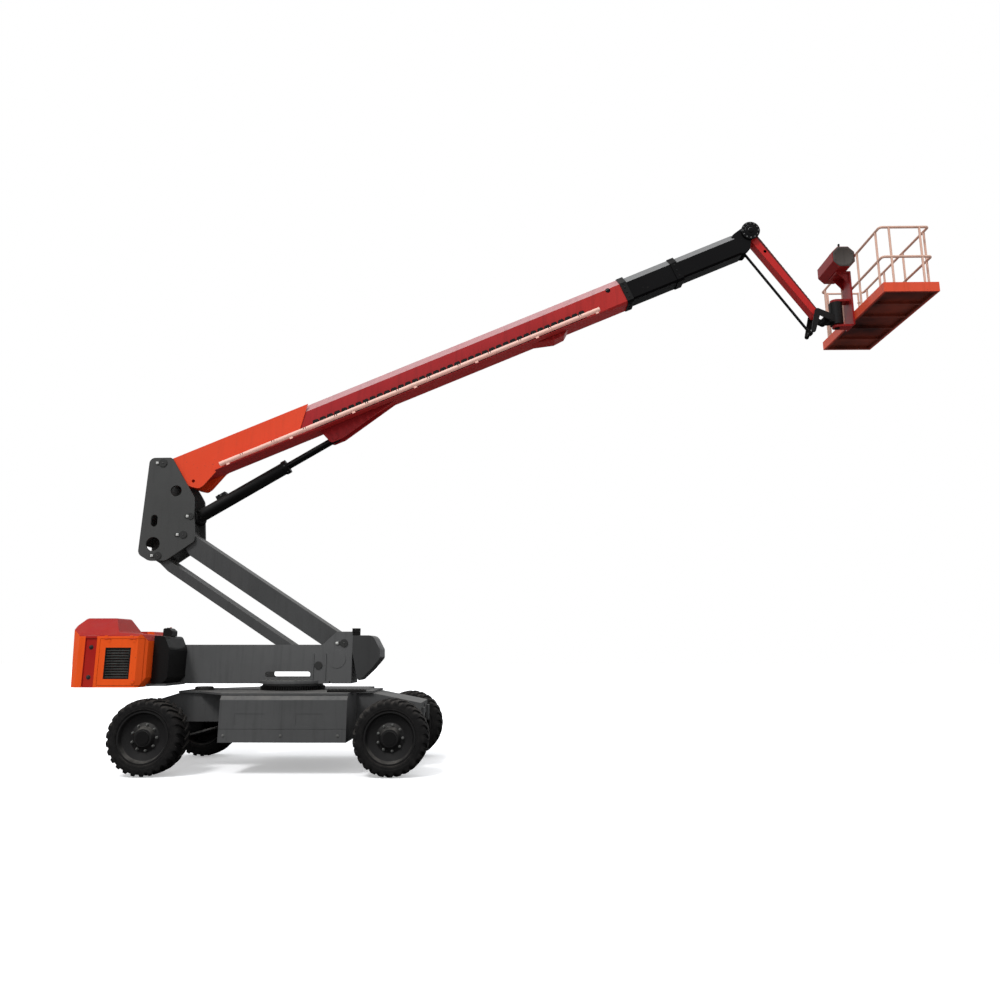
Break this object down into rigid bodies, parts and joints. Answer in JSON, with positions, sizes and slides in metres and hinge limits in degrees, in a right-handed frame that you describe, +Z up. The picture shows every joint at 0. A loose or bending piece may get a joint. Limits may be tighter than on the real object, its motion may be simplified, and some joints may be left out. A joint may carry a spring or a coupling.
{
  "type": "telescopic boom lift",
  "caption": "Self-propelled telescopic boom lift on rough-terrain wheels: parallelogram riser, extending boom, levelled jib and railed work platform with console.",
  "frame": {"origin": "on the ground, in the middle of the machine's footprint box from tail to platform, in the centre plane", "axes": "+X from the tail towards the platform, +Y to the machine's right side, +Z up"},
  "size_m": [12.663, 2.49, 8.7411],
  "materials": {
    "chassis_grey": "dark grey satin enamel, dusty",
    "link_grey": "dark grey satin enamel",
    "boom_red": "red enamel, lightly faded",
    "root_orange": "bright orange-red enamel",
    "boom_black": "black satin enamel with grease marks",
    "bodywork_orange": "orange enamel, dusty",
    "tank_black": "black satin enamel",
    "grille_black": "matt black",
    "pin_steel": "bare turned steel",
    "rod_chrome": "hard chrome",
    "platform_red": "red enamel",
    "rail_paint": "pale orange enamel, sun-faded",
    "rim_grey": "dark grey enamel",
    "tyre_rubber": "matt black rubber, dusty"
  },
  "bodies": {
    "chassis": {"chassis_frame": "chassis_grey", "deck_plate": "chassis_grey", "side_boxes": "chassis_grey", "tie_down_lugs": "chassis_grey", "steer_axle": "tank_black", "drive_axle": "tank_black", "slew_ring": "pin_steel"},
    "left_knuckle": {"left_steer_knuckle": "tank_black"},
    "right_knuckle": {"right_steer_knuckle": "tank_black"},
    "tie_rod": {"tie_rod": "tank_black"},
    "left_steer_wheel": {"left_steer_tyre": "tyre_rubber", "left_steer_rim": "rim_grey"},
    "right_steer_wheel": {"right_steer_tyre": "tyre_rubber", "right_steer_rim": "rim_grey"},
    "left_drive_wheel": {"left_drive_tyre": "tyre_rubber", "left_drive_rim": "rim_grey"},
    "right_drive_wheel": {"right_drive_tyre": "tyre_rubber", "right_drive_rim": "rim_grey"},
    "turntable": {"turntable_frame": "chassis_grey", "turntable_nose": "chassis_grey", "riser_base_pins": "pin_steel", "counterweight": "bodywork_orange", "left_hood": "bodywork_orange", "right_hood": "bodywork_orange", "hydraulic_tank": "tank_black", "fuel_tank": "tank_black", "engine_block": "tank_black", "ground_control_box": "bodywork_orange"},
    "left_hood_door": {"left_hood_door": "bodywork_orange", "left_door_grille": "grille_black"},
    "right_hood_door": {"right_hood_door": "bodywork_orange", "right_door_grille": "grille_black"},
    "upper_riser": {"upper_riser_link": "link_grey"},
    "lower_riser": {"lower_riser_link": "link_grey"},
    "upright": {"upright": "chassis_grey", "upright_pins": "pin_steel"},
    "base_boom": {"base_boom": "boom_red", "boom_root": "root_orange", "cylinder_bracket": "root_orange", "boom_tip_collar": "boom_black", "hose_tray": "grille_black", "hose_chain": "grille_black", "hose_tube": "pin_steel"},
    "cylinder_barrel": {"lift_cylinder_barrel": "tank_black"},
    "cylinder_rod": {"lift_cylinder_rod": "rod_chrome"},
    "mid_boom": {"mid_boom": "boom_black"},
    "fly_boom": {"fly_boom": "boom_black", "fly_nose": "boom_black"},
    "jib": {"jib_arm": "boom_red", "jib_pin": "pin_steel"},
    "jib_tie": {"jib_tie": "pin_steel"},
    "jib_head": {"platform_head": "link_grey"},
    "rotator": {"platform_rotator": "tank_black"},
    "platform": {"platform_mount": "platform_red", "platform_floor": "platform_red", "platform_rails": "rail_paint", "control_console": "platform_red"},
    "gate": {"platform_gate": "rail_paint"}
  },
  "joints": [
    {"name": "left_steer", "type": "hinge", "parent": "chassis", "child": "left_knuckle", "pos_m": [-5.13798, -0.78, 0.515], "axis": [0, 0, 1], "range_deg": [-35, 35]},
    {"name": "left_steer_wheel_spin", "type": "hinge", "parent": "left_knuckle", "child": "left_steer_wheel", "pos_m": [-5.13798, -1.045, 0.515], "axis": [0, 1, 0], "continuous": true},
    {"name": "left_drive_wheel_spin", "type": "hinge", "parent": "chassis", "child": "left_drive_wheel", "pos_m": [-1.77798, -1.045, 0.515], "axis": [0, 1, 0], "continuous": true},
    {"name": "right_steer", "type": "hinge", "parent": "chassis", "child": "right_knuckle", "pos_m": [-5.13798, 0.78, 0.515], "axis": [0, 0, 1], "range_deg": [-35, 35]},
    {"name": "right_steer_wheel_spin", "type": "hinge", "parent": "right_knuckle", "child": "right_steer_wheel", "pos_m": [-5.13798, 1.045, 0.515], "axis": [0, 1, 0], "continuous": true},
    {"name": "right_drive_wheel_spin", "type": "hinge", "parent": "chassis", "child": "right_drive_wheel", "pos_m": [-1.77798, 1.045, 0.515], "axis": [0, 1, 0], "continuous": true},
    {"name": "tie_rod_pivot", "type": "hinge", "parent": "left_knuckle", "child": "tie_rod", "pos_m": [-4.87798, -0.78, 0.515], "axis": [0, 0, 1], "range_deg": [-35, 35]},
    {"name": "turntable_slew", "type": "hinge", "parent": "chassis", "child": "turntable", "pos_m": [-3.45798, 0, 1.165], "axis": [0, 0, 1], "continuous": true},
    {"name": "riser_lift", "type": "hinge", "parent": "turntable", "child": "upper_riser", "pos_m": [-2.65198, 0, 1.791], "axis": [0, 1, 0], "range_deg": [-32.3, 38]},
    {"name": "lower_riser_pivot", "type": "hinge", "parent": "turntable", "child": "lower_riser", "pos_m": [-3.02598, 0, 1.463], "axis": [0, 1, 0], "range_deg": [-32.3, 38]},
    {"name": "upright_level", "type": "hinge", "parent": "upper_riser", "child": "upright", "pos_m": [-5.22412, 0, 3.44863], "axis": [0, 1, 0], "range_deg": [-38, 32.3]},
    {"name": "boom_lift", "type": "hinge", "parent": "upright", "child": "base_boom", "pos_m": [-5.63312, 0, 4.59463], "axis": [0, -1, 0], "range_deg": [-23, 50]},
    {"name": "lift_cylinder_pivot", "type": "hinge", "parent": "upright", "child": "cylinder_barrel", "pos_m": [-5.13112, 0, 3.73863], "axis": [0, -1, 0], "range_deg": [-21.66, 46.5]},
    {"name": "lift_cylinder_stroke", "type": "slide", "parent": "cylinder_barrel", "child": "cylinder_rod", "axis": [0.8566, 0, 0.5159], "range_m": [-0.4114, 0.8827]},
    {"name": "mid_boom_slide", "type": "slide", "parent": "base_boom", "child": "mid_boom", "axis": [0.92, 0, 0.392], "range_m": [-0.8, 4.6]},
    {"name": "fly_boom_slide", "type": "slide", "parent": "mid_boom", "child": "fly_boom", "axis": [0.92, 0, 0.392], "range_m": [-0.8, 4.6]},
    {"name": "jib_lift", "type": "hinge", "parent": "fly_boom", "child": "jib", "pos_m": [3.89698, 0, 8.58606], "axis": [0, -1, 0], "range_deg": [-4, 100]},
    {"name": "jib_tie_pivot", "type": "hinge", "parent": "fly_boom", "child": "jib_tie", "pos_m": [3.80598, 0, 8.25506], "axis": [0, -1, 0], "range_deg": [-4, 100]},
    {"name": "jib_head_level", "type": "hinge", "parent": "jib", "child": "jib_head", "pos_m": [4.90298, 0, 7.13706], "axis": [0, -1, 0], "range_deg": [-100, 4]},
    {"name": "platform_level", "type": "hinge", "parent": "jib_head", "child": "rotator", "pos_m": [5.08698, 0, 7.04606], "axis": [0, -1, 0], "range_deg": [-50, 23]},
    {"name": "platform_rotate", "type": "hinge", "parent": "rotator", "child": "platform", "pos_m": [5.26198, 0, 7.04606], "axis": [0, 0, 1], "range_deg": [-90, 90]},
    {"name": "platform_gate_swing", "type": "hinge", "parent": "platform", "child": "gate", "pos_m": [6.18848, 1.115, 7.57306], "axis": [0, 0, 1], "range_deg": [0, 90]},
    {"name": "left_hood_door_lift", "type": "hinge", "parent": "turntable", "child": "left_hood_door", "pos_m": [-5.59098, -1.137, 1.845], "axis": [-1, 0, 0], "range_deg": [0, 70]},
    {"name": "right_hood_door_lift", "type": "hinge", "parent": "turntable", "child": "right_hood_door", "pos_m": [-5.59098, 1.137, 1.68], "axis": [1, 0, 0], "range_deg": [0, 70]}
  ],
  "couplings": [
    {"joint": "right_steer", "follows": "left_steer", "ratio": 1},
    {"joint": "tie_rod_pivot", "follows": "left_steer", "ratio": -1},
    {"joint": "lower_riser_pivot", "follows": "riser_lift", "ratio": 1},
    {"joint": "upright_level", "follows": "riser_lift", "ratio": -1},
    {"joint": "lift_cylinder_pivot", "follows": "boom_lift", "ratio": 0.92},
    {"joint": "lift_cylinder_stroke", "follows": "boom_lift", "m_per_rad": 1},
    {"joint": "platform_level", "follows": "boom_lift", "ratio": -1},
    {"joint": "fly_boom_slide", "follows": "mid_boom_slide", "ratio": 1},
    {"joint": "jib_tie_pivot", "follows": "jib_lift", "ratio": 1},
    {"joint": "jib_head_level", "follows": "jib_lift", "ratio": -1}
  ]
}
